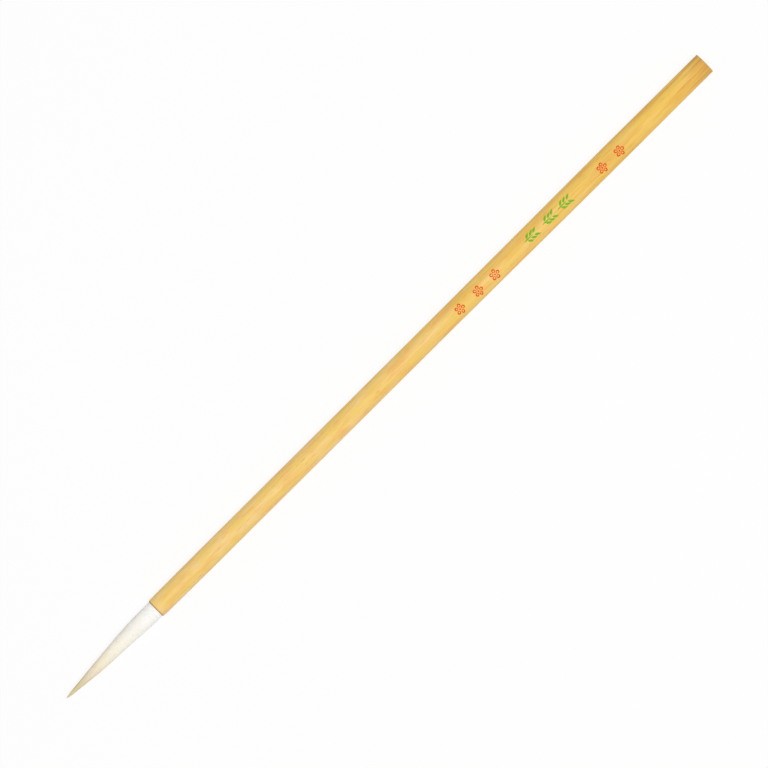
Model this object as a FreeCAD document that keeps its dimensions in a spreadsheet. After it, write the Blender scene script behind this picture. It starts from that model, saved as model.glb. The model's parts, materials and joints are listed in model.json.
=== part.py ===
import FreeCAD, Part
import os
import Sketcher

# A calligraphy brush lying on its side: a slender bamboo handle, and a pointed tuft of
# goat hair that is bound with thread, seared at its root and glued into a drilled socket.
#
# Stations are distances back from the tip of the tuft, along the axis of the brush. The
# finished parts are moved so that this axis is X, with the tip towards -X and the origin in
# the middle of the grip, where the brush is held. Every length is in millimetres.

doc = FreeCAD.newDocument("calligraphy_brush")
sheet = doc.addObject("Spreadsheet::Sheet", "Sizes")

SIZES = {
    # handle
    "handle_length": 211.6,
    "grip_dia": 6.1,
    "grip_length": 110,
    "swell_rise": 0.4,
    "swell_from_rear": 37,
    "rear_fall": 0.12,
    "rear_chamfer": 0.12,
    "pith_dia": 1.8,
    # socket in the front end of the handle
    "mouth_wall": 0.39,
    "mouth_land": 0.09,
    "mouth_bevel_length": 0.8,
    "socket_depth": 11,
    "drill_point_angle": 118,
    # outside of the tuft
    "hair_free": 34.6,
    "tip_dia": 0.1,
    "neck_clearance": 0.06,
    "belly_rise": 0.07,
    "belly_from_mouth": 4.8,
    "taper_power": 0.63,
    # where each group of hair begins, back from the tip
    "coat_start": 2.7,
    "throat_start": 6.2,
    "belly_start": 14.2,
    "waist_start": 23.2,
    "coat_wall": 0.15,
    "coat_feather": 0.03,
    "group_feather": 0.05,
    # how much of all the hair each group is; the outer coat is the rest
    "life_share": 0.07,
    "throat_share": 0.16,
    "belly_share": 0.26,
    "waist_share": 0.3,
    # root of the tuft, inside the socket
    "hair_rooted": 9,
    "rooted_clearance": 0.16,
    "bound_depth": 0.2,
    "thread_dia": 0.22,
    "thread_gap": 0.04,
    "thread_turns": 8,
    "thread_from_root": 0.5,
    "thread_clearance": 0.01,
    "seared_thickness": 0.4,
    "glue_recess": 0.5,
    # carved and painted marks on the upper side of the handle
    "carve_depth": 0.12,
    "blossom_offset": 0.55,
    "sprig_offset": 0.1,
    "petal_dia": 1.05,
    "petal_stroke": 0.26,
    "petal_gap": 0.12,
    "blossom_eye_dia": 0.5,
    "stem_length": 3.6,
    "stem_width": 0.3,
    "leaf_length": 1.9,
    "leaf_width": 0.56,
    "leaf_angle": 34,
    "leaf_gap": 0.14,
    "leaf_to_stem": 0.12,
    # places of the marks, forward from the rear end
    "blossom_place_1": 94.9,
    "blossom_place_2": 87.9,
    "blossom_place_3": 81.5,
    "blossom_place_4": 40.2,
    "blossom_place_5": 33.6,
    "sprig_place_1": 67.4,
    "sprig_place_2": 60.5,
    "sprig_place_3": 54.5,
}
PETALS = 5
LEAF_PAIRS = 3
WIDEST_AT = 0.4
BLOSSOMS = 5
SPRIGS = 3

for row, (alias, number) in enumerate(SIZES.items(), start=1):
    sheet.set(f"A{row}", alias.replace("_", " "))
    sheet.set(f"B{row}", str(number))
    sheet.setAlias(f"B{row}", alias)
doc.recompute()


def half(alias):
    """The formula for a radius, from the cell of its diameter."""
    return f"(Sizes.{alias} / 2)"


# Stations that several pieces share
TIP = "0"
MOUTH = "Sizes.hair_free"
BELLY = "(Sizes.hair_free - Sizes.belly_from_mouth)"
NECK_END = "(Sizes.hair_free + Sizes.glue_recess)"
ROOT = "(Sizes.hair_free + Sizes.hair_rooted)"
SEARED = f"({ROOT} + Sizes.seared_thickness)"
THREAD_END = f"({ROOT} - Sizes.thread_from_root)"
THREAD_PITCH = "(Sizes.thread_dia + Sizes.thread_gap)"
THREAD_LENGTH = f"(Sizes.thread_turns * {THREAD_PITCH})"
THREAD_START = f"({THREAD_END} - {THREAD_LENGTH} - Sizes.thread_dia)"
SOCKET_END = "(Sizes.hair_free + Sizes.socket_depth)"
TOTAL = "(Sizes.hair_free + Sizes.handle_length)"
GRIP_FRONT = "(Sizes.hair_free + Sizes.mouth_bevel_length)"
GRIP_REAR = "(Sizes.hair_free + Sizes.grip_length)"
GRIP_MIDDLE = f"(({GRIP_FRONT} + {GRIP_REAR}) / 2)"

# Radii that several pieces share
ON_AXIS = "0"
GRIP_R = half("grip_dia")
SWELL_R = f"({GRIP_R} + Sizes.swell_rise / 2)"
REAR_R = f"({SWELL_R} - Sizes.rear_fall / 2)"
PITH_R = half("pith_dia")
SOCKET_R = f"({GRIP_R} - Sizes.mouth_wall)"
NECK_R = f"({SOCKET_R} - Sizes.neck_clearance)"
BELLY_R = f"({NECK_R} + Sizes.belly_rise)"
ROOTED_R = f"({SOCKET_R} - Sizes.rooted_clearance)"
BOUND_R = f"({ROOTED_R} - Sizes.bound_depth)"
THREAD_AXIS_R = f"({BOUND_R} + Sizes.thread_clearance + {half('thread_dia')})"
THREAD_OUT_R = f"({BOUND_R} + 2 * Sizes.thread_clearance + Sizes.thread_dia)"


def tuft_radius(station):
    """Radius of the free tuft: a power of the distance from the tip, full size at the belly."""
    return f"({BELLY_R} * (({station}) / {BELLY}) ^ Sizes.taper_power)"


def under_coat(station):
    """Radius of the hair that lies under the outer coat."""
    return f"({tuft_radius(station)} - Sizes.coat_wall)"


def number(formula):
    """What a formula comes to with the sizes in the sheet."""
    return float(sheet.evalExpression(formula))


def origin_plane(body, role):
    return next(f for f in body.Origin.OriginFeatures if f.Role == role)


def new_body(name):
    """A body whose placement carries its stations into the frame of the brush."""
    body = doc.addObject("PartDesign::Body", name)
    body.setExpression("Placement.Base.x", f"-{GRIP_MIDDLE}")
    return body


def new_sketch(body, name, role="XY_Plane"):
    sketch = body.newObject("Sketcher::SketchObject", name)
    sketch.AttachmentSupport = (origin_plane(body, role), "")
    sketch.MapMode = "FlatFace"
    return sketch


def hold_point(sketch, edge, end, x, y):
    """Ties one point of a sketch to a formula for each of its coordinates."""
    ties = (("DistanceX", x, -2), ("DistanceY", y, -1))
    for kind, formula, axis in ties:
        if abs(number(formula)) < 1e-9:
            sketch.addConstraint(Sketcher.Constraint("PointOnObject", edge, end, axis))
        else:
            tie = Sketcher.Constraint(kind, -1, 1, edge, end, number(formula))
            sketch.setExpression(f"Constraints[{sketch.addConstraint(tie)}]", formula)


def draw_outline(sketch, steps):
    """A closed outline. Each step is the (x, y) that a straight edge leads to, or
    (through x, through y, x, y) for an arc, and every coordinate is a formula."""
    ends = [step[-2:] for step in steps]
    edges = []
    for start, step in zip(ends[-1:] + ends[:-1], steps):
        points = [start] + [step[i : i + 2] for i in range(0, len(step), 2)]
        places = [FreeCAD.Vector(number(x), number(y), 0) for x, y in points]
        if len(points) == 2:
            edges.append(sketch.addGeometry(Part.LineSegment(*places)))
            continue
        # a sketch turns its arcs anticlockwise, so an arc that turns clockwise starts at its end
        turn = (places[1] - places[0]).cross(places[2] - places[1])
        edges.append(sketch.addGeometry(Part.Arc(*places[:: 1 if turn.z > 0 else -1])))
        through = sketch.addGeometry(Part.Point(places[1]), True)
        hold_point(sketch, through, 1, *points[1])
        sketch.addConstraint(Sketcher.Constraint("PointOnObject", through, 1, edges[-1]))

    def point_at(edge, place):
        """Which end of an edge, 1 or 2, lies at a place."""
        shape = sketch.Geometry[edge]
        return 1 if (shape.StartPoint - place).Length < 1e-6 else 2

    for edge, after, (x, y) in zip(edges, edges[1:] + edges[:1], ends):
        place = FreeCAD.Vector(number(x), number(y), 0)
        end, start = point_at(edge, place), point_at(after, place)
        sketch.addConstraint(Sketcher.Constraint("Coincident", edge, end, after, start))
        hold_point(sketch, edge, end, x, y)


def turned_body(name, steps):
    """A body made by turning one outline about the axis of the brush."""
    body = new_body(name)
    sketch = new_sketch(body, f"{name}_outline")
    draw_outline(sketch, steps)
    doc.recompute()
    turned = body.newObject("PartDesign::Revolution", f"{name}_turned")
    turned.Profile = sketch
    turned.ReferenceAxis = (sketch, ["H_Axis"])
    turned.Angle = 360
    doc.recompute()
    return body


# --- Tuft: four nested groups of hair and an outer coat -----------------------------------
# Each group ends with a small step, and the next longer group fills the middle of it.

GROUPS = ["coat", "throat", "belly", "waist"]
START = {group: f"Sizes.{group}_start" for group in GROUPS}
OUTER_AT = {group: under_coat(START[group]) for group in GROUPS}
OUTER_AT["coat"] = f"({tuft_radius(START['coat'])} - Sizes.coat_feather)"
INNER_AT = {group: f"({OUTER_AT[group]} - Sizes.group_feather)" for group in GROUPS}


def root_radius(*groups):
    """Radius of these groups together where the thread binds them: hair fills its area."""
    share = " + ".join(f"Sizes.{group}_share" for group in groups)
    return f"({BOUND_R} * sqrt({share}))"


LIFE_ROOT_R = root_radius("life")
THROAT_ROOT_R = root_radius("life", "throat")
BELLY_ROOT_R = root_radius("life", "throat", "belly")
WAIST_ROOT_R = root_radius("life", "throat", "belly", "waist")


def back_to_root(start, inner_r, root_r):
    """From the front edge of the next group to the root, along that group's inside."""
    return [(start, inner_r), (MOUTH, root_r), (ROOT, root_r)]


life_point = f"({START['coat']} / 2)"
life_hairs = turned_body(
    "life_hairs",
    [
        (TIP, ON_AXIS),
        (TIP, half("tip_dia")),
        (life_point, f"({tuft_radius(life_point)} - Sizes.coat_feather)",
         START["coat"], OUTER_AT["coat"]),
        (START["throat"], OUTER_AT["throat"]),
        *back_to_root(START["throat"], INNER_AT["throat"], LIFE_ROOT_R),
        (ROOT, ON_AXIS),
    ],
)  # fmt: skip

for group, after, root_inside, root_outside in (
    ("throat", "belly", LIFE_ROOT_R, THROAT_ROOT_R),
    ("belly", "waist", THROAT_ROOT_R, BELLY_ROOT_R),
):
    turned_body(
        f"{group}_hairs",
        [
            (START[group], OUTER_AT[group]),
            (START[after], OUTER_AT[after]),
            *back_to_root(START[after], INNER_AT[after], root_outside),
            *reversed(back_to_root(START[group], INNER_AT[group], root_inside)),
        ],
    )

belly_under_coat = f"({BELLY_R} - Sizes.coat_wall)"
waist_hairs = turned_body(
    "waist_hairs",
    [
        (START["waist"], OUTER_AT["waist"]),
        (BELLY, belly_under_coat),
        (MOUTH, WAIST_ROOT_R),
        (ROOT, WAIST_ROOT_R),
        *reversed(back_to_root(START["waist"], INNER_AT["waist"], BELLY_ROOT_R)),
    ],
)

neck_middle = f"(({BELLY} + {MOUTH}) / 2)"
neck_middle_r = f"({BELLY_R} - Sizes.belly_rise / 4)"
outer_hairs = turned_body(
    "outer_hairs",
    [
        (START["coat"], tuft_radius(START["coat"])),
        (START["throat"], tuft_radius(START["throat"]),
         START["belly"], tuft_radius(START["belly"])),
        (START["waist"], tuft_radius(START["waist"]), BELLY, BELLY_R),
        (neck_middle, neck_middle_r, MOUTH, NECK_R),
        (NECK_END, ROOTED_R),
        (THREAD_START, ROOTED_R),
        (THREAD_START, BOUND_R),
        (ROOT, BOUND_R),
        (ROOT, WAIST_ROOT_R),
        (MOUTH, WAIST_ROOT_R),
        (BELLY, belly_under_coat),
        (START["waist"], OUTER_AT["waist"]),
        (START["belly"], OUTER_AT["belly"]),
        (START["throat"], OUTER_AT["throat"]),
        (START["coat"], OUTER_AT["coat"]),
    ],
)  # fmt: skip

# --- Root of the tuft: seared end, binding thread, glue -----------------------------------

seared_root = turned_body(
    "seared_root",
    [(ROOT, ON_AXIS), (ROOT, BOUND_R), (SEARED, BOUND_R), (SEARED, ON_AXIS)],
)

DRILL_END = f"({SOCKET_END} + ({SOCKET_R} - {PITH_R}) / tan(Sizes.drill_point_angle * 1deg / 2))"
socket_glue = turned_body(
    "socket_glue",
    [
        (NECK_END, ROOTED_R),
        (NECK_END, SOCKET_R),
        (SOCKET_END, SOCKET_R),
        (DRILL_END, PITH_R),
        (DRILL_END, ON_AXIS),
        (SEARED, ON_AXIS),
        (SEARED, BOUND_R),
        (THREAD_END, BOUND_R),
        (THREAD_END, THREAD_OUT_R),
        (THREAD_START, THREAD_OUT_R),
        (THREAD_START, ROOTED_R),
    ],
)

thread_path = doc.addObject("Part::Helix", "thread_path")
thread_path.setExpression("Pitch", THREAD_PITCH)
thread_path.setExpression("Height", THREAD_LENGTH)
thread_path.setExpression("Radius", THREAD_AXIS_R)
thread_path.SegmentLength = 1  # a face of its own for each turn of the thread
thread_section = doc.addObject("Part::Circle", "thread_section")
thread_section.setExpression("Radius", half("thread_dia"))
thread_section.setExpression("Placement.Base.x", THREAD_AXIS_R)
thread_section.Placement.Rotation = FreeCAD.Rotation(FreeCAD.Vector(1, 0, 0), 90)
root_thread = doc.addObject("Part::Sweep", "root_thread")
root_thread.Sections = [thread_section]
root_thread.Spine = (thread_path, [])
root_thread.Solid = True
root_thread.Frenet = True
root_thread.Placement.Rotation = FreeCAD.Rotation(FreeCAD.Vector(0, 1, 0), 90)
thread_front = f"{THREAD_START} + {half('thread_dia')}"
root_thread.setExpression("Placement.Base.x", f"{thread_front} - {GRIP_MIDDLE}")

# --- Handle: turned bamboo, drilled socket, pith channel ----------------------------------


def handle_outline(depth, bevelled):
    """Outline of the handle, this far under its surface, from the axis at the mouth."""
    grip_r, swell_r, rear_r = (f"({radius} - {depth})" for radius in (GRIP_R, SWELL_R, REAR_R))
    bevel_r = f"({SOCKET_R} + Sizes.mouth_land)"
    mouth = [(MOUTH, bevel_r), (GRIP_FRONT, grip_r)] if bevelled else [(MOUTH, grip_r)]
    return [
        (MOUTH, ON_AXIS),
        *mouth,
        (GRIP_REAR, grip_r),
        (f"({TOTAL} - Sizes.swell_from_rear)", swell_r),
        (TOTAL, rear_r),
        (TOTAL, ON_AXIS),
    ]


def add_circle(sketch, x, y, radius):
    """A circle whose middle and radius are formulas."""
    middle = FreeCAD.Vector(number(x), number(y), 0)
    circle = sketch.addGeometry(Part.Circle(middle, FreeCAD.Vector(0, 0, 1), number(radius)))
    hold_point(sketch, circle, 3, x, y)
    size = Sketcher.Constraint("Radius", circle, number(radius))
    sketch.setExpression(f"Constraints[{sketch.addConstraint(size)}]", radius)


def end_circle(body, name, radius):
    """A sketch with one circle about the axis, drawn across the brush at its tip."""
    sketch = new_sketch(body, name, "YZ_Plane")
    add_circle(sketch, "0", "0", radius)
    return sketch


handle_blank = turned_body("handle_blank", handle_outline("0", bevelled=True))

socket_circle = end_circle(handle_blank, "socket_circle", SOCKET_R)
socket_circle.setExpression("AttachmentOffset.Base.z", MOUTH)
doc.recompute()
socket = handle_blank.newObject("PartDesign::Hole", "socket")
socket.Profile = socket_circle
socket.DepthType = "Dimension"
socket.DrillPoint = "Angled"
socket.DrillForDepth = False
socket.Reversed = True
socket.setExpression("Diameter", f"2 * {SOCKET_R}")
socket.setExpression("Depth", "Sizes.socket_depth")
socket.setExpression("DrillPointAngle", "Sizes.drill_point_angle")
doc.recompute()

pith_circle = end_circle(handle_blank, "pith_circle", PITH_R)
doc.recompute()
pith_channel = handle_blank.newObject("PartDesign::Pocket", "pith_channel")
pith_channel.Profile = pith_circle
pith_channel.Type = "Length"
pith_channel.Reversed = True
pith_channel.setExpression("Length", f"{TOTAL} + Sizes.pith_dia")
doc.recompute()

rear_x = number(TOTAL)
rim = [
    f"Edge{i}"
    for i, edge in enumerate(pith_channel.Shape.Edges, start=1)
    if isinstance(edge.Curve, Part.Circle)
    and abs(edge.Curve.Center.x - rear_x) < 1e-6
    and abs(edge.Curve.Radius - number(REAR_R)) < 1e-6
]
rear_edge = handle_blank.newObject("PartDesign::Chamfer", "rear_edge")
rear_edge.Base = (pith_channel, rim)
rear_edge.setExpression("Size", "Sizes.rear_chamfer")
doc.recompute()

# --- Marks: plum blossoms and leaf sprigs, carved into the handle and filled with paint ---
# An upright prism of each mark is cut off a little under the surface of the handle. What is
# left of it is the carving tool, and the part of the tool inside the handle is the paint.


def mark_body(name):
    """A body for one mark, drawn about its own middle in the plane of the axis."""
    body = doc.addObject("PartDesign::Body", name)
    body.AllowCompound = True
    return body, new_sketch(body, f"{name}_strokes")


def add_leaf(sketch, x, y, angle, length, width):
    """A leaf with four sides, from its foot at (x, y), at an angle to the axis."""
    along, across = f"cos(({angle}) * 1deg)", f"sin(({angle}) * 1deg)"
    tip = (f"({x}) + ({length}) * {along}", f"({y}) + ({length}) * {across}")
    widest_x = f"({x}) + ({length}) * {WIDEST_AT} * {along}"
    widest_y = f"({y}) + ({length}) * {WIDEST_AT} * {across}"
    side_x, side_y = f"({width}) / 2 * {across}", f"({width}) / 2 * {along}"
    right = (f"{widest_x} + {side_x}", f"{widest_y} - {side_y}")
    left = (f"{widest_x} - {side_x}", f"{widest_y} + {side_y}")
    draw_outline(sketch, [right, tip, left, (x, y)])


def raise_strokes(body, sketch):
    """Stands the strokes up from the axis to well above the handle."""
    doc.recompute()
    prism = body.newObject("PartDesign::Pad", f"{body.Name}_prism")
    prism.Profile = sketch
    prism.setExpression("Length", f"2 * {SWELL_R}")
    doc.recompute()


blossom, strokes = mark_body("blossom")
petal_ring_r = f"((Sizes.petal_dia + Sizes.petal_gap) / 2 / sin(180deg / {PETALS}))"
for petal in range(PETALS):
    turn = f"({petal} * 360deg / {PETALS})"
    x = f"{petal_ring_r} * cos{turn}"
    y = f"{petal_ring_r} * sin{turn}"
    add_circle(strokes, x, y, half("petal_dia"))
    add_circle(strokes, x, y, f"{half('petal_dia')} - Sizes.petal_stroke")
add_circle(strokes, "0", "0", half("blossom_eye_dia"))
raise_strokes(blossom, strokes)

sprig, strokes = mark_body("sprig")
stem_foot = "-Sizes.stem_length * 2 / 3"
add_leaf(strokes, stem_foot, "0", "0", "Sizes.stem_length", "Sizes.stem_width")
leaf_foot = f"({half('stem_width')} + Sizes.leaf_to_stem)"
leaf_pitch = "((Sizes.leaf_width + Sizes.leaf_gap) / sin(Sizes.leaf_angle * 1deg))"
for pair in range(LEAF_PAIRS):
    x = f"({pair - (LEAF_PAIRS - 1) / 2} * {leaf_pitch})"
    for side in (1, -1):
        foot_y = f"{side} * {leaf_foot}"
        angle = f"{side} * Sizes.leaf_angle"
        add_leaf(strokes, x, foot_y, angle, "Sizes.leaf_length", "Sizes.leaf_width")
raise_strokes(sprig, strokes)

uncarved_core = turned_body("uncarved_core", handle_outline("Sizes.carve_depth", bevelled=False))


def carving_tool(name, mark, count):
    """Copies of one mark in their places along the handle, with the core taken away."""
    copies = []
    for n in range(1, count + 1):
        copy = doc.addObject("App::Link", f"{name}_{n}")
        copy.LinkedObject = mark
        place = f"{TOTAL} - Sizes.{mark.Name}_place_{n}"
        copy.setExpression("Placement.Base.x", f"{place} - {GRIP_MIDDLE}")
        copy.setExpression("Placement.Base.y", f"-Sizes.{mark.Name}_offset")
        copies.append(copy)
    prisms = doc.addObject("Part::Compound", f"{name}_prisms")
    prisms.Links = copies
    tool = doc.addObject("Part::Cut", f"{name}_tool")
    tool.Base = prisms
    tool.Tool = uncarved_core
    return tool


blossom_tool = carving_tool("blossoms", blossom, BLOSSOMS)
sprig_tool = carving_tool("sprigs", sprig, SPRIGS)

handle_with_blossoms = doc.addObject("Part::Cut", "handle_with_blossoms")
handle_with_blossoms.Base = handle_blank
handle_with_blossoms.Tool = blossom_tool
bamboo_handle = doc.addObject("Part::Cut", "bamboo_handle")
bamboo_handle.Base = handle_with_blossoms
bamboo_handle.Tool = sprig_tool

red_blossom_paint = doc.addObject("Part::Common", "red_blossom_paint")
red_blossom_paint.Base = handle_blank
red_blossom_paint.Tool = blossom_tool
green_sprig_paint = doc.addObject("Part::Common", "green_sprig_paint")
green_sprig_paint.Base = handle_blank
green_sprig_paint.Tool = sprig_tool
doc.recompute()

# --- Check every object, then write each piece --------------------------------------------

NODES = [
    "bamboo_handle",
    "socket_glue",
    "seared_root",
    "root_thread",
    "life_hairs",
    "throat_hairs",
    "belly_hairs",
    "waist_hairs",
    "outer_hairs",
    "red_blossom_paint",
    "green_sprig_paint",
]

for item in doc.Objects:
    if {"Invalid", "Error"} & set(item.State):
        raise RuntimeError(f"{item.Name} failed: {item.State}")

drilled_away = number(f"pi * {PITH_R} ^ 2 * Sizes.handle_length")
for feature, before in ((socket, "handle_blank_turned"), (pith_channel, "socket")):
    removed = doc.getObject(before).Shape.Volume - feature.Shape.Volume
    if removed < drilled_away / 10:
        raise RuntimeError(f"{feature.Name} cut nothing")

pieces = [doc.getObject(node) for node in NODES]
for piece in pieces:
    piece.Label = piece.Name
    if piece.Shape.isNull() or not piece.Shape.isValid():
        raise RuntimeError(f"{piece.Label} has no valid shape")

os.makedirs("parts", exist_ok=True)
for piece in pieces:
    piece.Shape.exportStep(f"parts/{piece.Label}.step")
    box = piece.Shape.BoundBox
    print(
        f"{piece.Label:18} {len(piece.Shape.Solids):3} solids {piece.Shape.Volume:10.4f} mm3"
        f"  x {box.XMin:8.2f}..{box.XMax:8.2f}  z {box.ZMin:5.2f}..{box.ZMax:5.2f}"
    )
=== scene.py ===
# %% [markdown]
# # A writing brush of bamboo and goat hair
# A brush like this has two sides to it. The handle is a stick of bamboo, all fibres and satin
# skin, and the tuft is a few thousand goat hairs bound at the root and dressed to a point.
# The CAD model already holds every size and place, so this lesson never guesses one: it loads
# that model as a frame, measures it, and lays finer surfaces and finishes over it.

import json

import bmesh
import bpy
import numpy as np
from mathutils import Matrix, Vector


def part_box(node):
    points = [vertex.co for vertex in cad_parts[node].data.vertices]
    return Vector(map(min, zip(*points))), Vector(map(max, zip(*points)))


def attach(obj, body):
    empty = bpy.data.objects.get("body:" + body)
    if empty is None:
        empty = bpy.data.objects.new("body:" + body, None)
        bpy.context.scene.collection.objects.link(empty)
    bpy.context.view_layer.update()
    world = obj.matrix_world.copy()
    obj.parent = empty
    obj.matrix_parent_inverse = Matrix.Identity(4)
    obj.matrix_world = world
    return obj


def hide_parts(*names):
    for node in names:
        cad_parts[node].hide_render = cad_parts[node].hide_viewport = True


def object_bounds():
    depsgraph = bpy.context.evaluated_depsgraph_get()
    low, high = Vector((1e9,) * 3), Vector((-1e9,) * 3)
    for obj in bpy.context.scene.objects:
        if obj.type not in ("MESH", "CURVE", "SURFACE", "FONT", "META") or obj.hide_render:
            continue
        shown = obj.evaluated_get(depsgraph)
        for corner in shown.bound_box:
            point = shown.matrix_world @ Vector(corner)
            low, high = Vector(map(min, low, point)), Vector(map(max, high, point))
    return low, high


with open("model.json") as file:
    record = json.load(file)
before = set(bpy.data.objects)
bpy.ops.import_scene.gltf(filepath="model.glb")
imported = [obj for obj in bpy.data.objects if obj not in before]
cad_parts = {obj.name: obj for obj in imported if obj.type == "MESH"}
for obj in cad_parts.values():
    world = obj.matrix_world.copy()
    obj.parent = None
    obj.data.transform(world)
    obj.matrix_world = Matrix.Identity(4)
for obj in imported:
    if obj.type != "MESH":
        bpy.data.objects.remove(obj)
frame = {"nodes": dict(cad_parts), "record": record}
cad_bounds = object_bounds()
print("CAD box in metres:", [tuple(round(v, 4) for v in corner) for corner in cad_bounds])

# %% [markdown]
# ## Where everything is
# The axis of the brush is the X axis, the tip points to minus X and the upper side faces plus Z.
# Working in millimetres keeps the numbers readable, and one factor turns them into the metres
# that Blender uses. Each station along the brush comes from the box of a CAD piece, so the
# surfaces below still fit if the CAD sizes change.

# %% Stations and radii in millimetres
MM = 0.001


def corners(node):
    """Lowest and highest corner of a CAD piece, in millimetres."""
    return (np.array(corner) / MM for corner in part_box(node))


TIP = next(corners("life_hairs"))[0]
(MOUTH, *_), (REAR, SWELL_R, _) = corners("bamboo_handle")
_, (ROOT, _, BELLY_R) = corners("outer_hairs")
_, (DRILL_END, SOCKET_R, _) = corners("socket_glue")
_, (_, BOUND_R, _) = corners("seared_root")
grip = next(m for m in frame["record"]["mounts"] if m["name"] == "grip_barrel")
GRIP_R = grip["dims"]["r_mm"]
GRIP_END = grip["dims"]["length_mm"] / 2
FREE = MOUTH - TIP
print(f"tip {TIP:.1f}, mouth {MOUTH:.1f}, rear {REAR:.1f}, root {ROOT:.1f}, free hair {FREE:.1f}")
print(f"radii: grip {GRIP_R}, swell {SWELL_R:.2f}, socket {SOCKET_R:.2f}, belly {BELLY_R:.2f}")

# %% [markdown]
# ## Natural unevenness
# Bamboo and hair never repeat. Both get their unevenness from one recipe: random heights on a
# coarse net, with a smooth slope from each crossing to the next. The net closes on itself
# across the piece, because its two edges meet when the surface is wrapped round the axis, and
# a fixed seed draws the same heights every time.


# %% Smooth random hills on a wrapped net
def hills(across, along, cells_across, cells_along, seed):
    """Smooth random heights from -1 to 1 at places given as shares of a turn and of the length.

    The place is scaled to cells, the four heights at the corners of its cell are drawn from a
    seeded net, and they are blended with weights 3t^2 - 2t^3 of the distance t into the cell."""
    net = np.random.default_rng(seed).uniform(-1, 1, (cells_across, cells_along + 2))
    u = np.mod(across, 1) * cells_across
    v = np.clip(along, 0, 1) * cells_along
    i, j = np.floor(u).astype(int), np.floor(v).astype(int)
    s, t = (w * w * (3 - 2 * w) for w in (u - i, v - j))
    near, far = i % cells_across, (i + 1) % cells_across
    start = net[near, j] * (1 - s) + net[far, j] * s
    end = net[near, j + 1] * (1 - s) + net[far, j + 1] * s
    return start * (1 - t) + end * t


sample = hills(np.linspace(0, 1, 500), 0.3, 20, 4, seed=1)
print(f"hills from {sample.min():.2f} to {sample.max():.2f}, ends meet: {sample[0] == sample[-1]}")

# %% [markdown]
# ## From a grid of points to a mesh
# Every surface in this lesson is a grid: rows run along a profile, columns run round it. Four
# neighbours make a face. Where the surface closes, the last line joins the first again, so no
# seam is left. Profiles that end on the axis give a ring of points in one place, and merging
# that ring makes a clean pole.


# %% Grid of faces
def grid_faces(rows, columns, rows_close=False):
    """Row and column of the four corners of each face of a grid whose columns close.

    A face joins (row, column), (row, column + 1), (row + 1, column + 1) and (row + 1, column).
    Numbers past the end are kept here for the UV map and wrapped when vertices are looked up."""
    row, column = np.indices((rows if rows_close else rows - 1, columns)).reshape(2, -1, 1)
    return row + [0, 0, 1, 1], column + [0, 1, 1, 0]


def new_piece(name, points, faces, uvs=None, flat=slice(0), merge=False):
    """An object from points in millimetres, lists of faces and corner UVs, smooth but for flat."""
    mesh = bpy.data.meshes.new(name)
    mesh.from_pydata((points * MM).tolist(), [], [face for part in faces for face in part.tolist()])
    smooth = np.ones(len(mesh.polygons), bool)
    smooth[flat] = False
    mesh.polygons.foreach_set("use_smooth", smooth)
    if uvs is not None:
        layer = mesh.uv_layers.new(name="OFBake")
        layer.uv.foreach_set("vector", np.concatenate([uv.reshape(-1) for uv in uvs]))
    if merge:
        work = bmesh.new()
        work.from_mesh(mesh)
        bmesh.ops.remove_doubles(work, verts=work.verts, dist=1e-8)
        work.to_mesh(mesh)
        work.free()
    piece = bpy.data.objects.new(name, mesh)
    bpy.context.scene.collection.objects.link(piece)
    triangles = sum(len(p.vertices) - 2 for p in mesh.polygons)
    print(f"{name}: {len(mesh.vertices)} vertices, {triangles} triangles")
    return piece


# %% [markdown]
# ## Shader maths in plain Python
# A finish is a small net of nodes. Written as Python, 1 - mask * 0.3 says more than three boxes
# and their wires, so one class wraps a socket and lets the operators add the Math nodes. A
# second class adds any other node by its type, and a third is the net of one material.


# %% Sockets that can be added and multiplied
class Wire:
    """One output of a node, on which Python's operators add Math nodes."""

    def __init__(self, net, socket):
        self.net, self.socket = net, socket

    def maths(self, operation, *values):
        return self.net.node("ShaderNodeMath", {"operation": operation}, values)

    def __add__(self, other):
        return self.maths("ADD", self, other)

    def __sub__(self, other):
        return self.maths("SUBTRACT", self, other)

    def __rsub__(self, other):
        return self.maths("SUBTRACT", other, self)

    def __mul__(self, other):
        return self.maths("MULTIPLY", self, other)

    __radd__, __rmul__ = __add__, __mul__


# %% A net of nodes
class Net:
    """The nodes of a material or of the world."""

    def __init__(self, tree):
        self.tree = tree

    def node(self, kind, settings=None, sockets=(), output=0):
        """Adds a node: settings first, then the value or link of each socket."""
        node = self.tree.nodes.new(kind)
        for setting, value in (settings or {}).items():
            if setting == "stops":
                for stop in value[2:]:
                    node.color_ramp.elements.new(stop[0])
                for element, (place, colour) in zip(node.color_ramp.elements, value):
                    element.position, element.color = place, colour
            else:
                setattr(node, setting, value)
        for key, value in sockets.items() if isinstance(sockets, dict) else enumerate(sockets):
            self.join(node.inputs[key], value)
        return Wire(self, node.outputs[output])

    def join(self, socket, value):
        if isinstance(value, Wire):
            self.tree.links.new(value.socket, socket)
        else:
            socket.default_value = value

    def mix(self, below, above, share):
        """One colour laid over another, as strongly as share says."""
        sockets = {0: share, 6: below, 7: above}
        return self.node("ShaderNodeMix", {"data_type": "RGBA"}, sockets, output=2)

    def fade(self, value, start, end):
        """0 before start and 1 after end, with a smooth slope between them."""
        sockets = {"Value": value, "From Min": start, "From Max": end}
        return self.node("ShaderNodeMapRange", {"interpolation_type": "SMOOTHSTEP"}, sockets)

    def grain(self, place, scales, detail=2.0, roughness=0.5):
        """Smooth noise from 0 to 1 that changes so many times in a metre along each axis."""
        stretched = self.node("ShaderNodeVectorMath", {"operation": "MULTIPLY"}, [place, scales])
        sockets = {"Vector": stretched, "Scale": 1.0, "Detail": detail, "Roughness": roughness}
        return self.node("ShaderNodeTexNoise", None, sockets)


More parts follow.
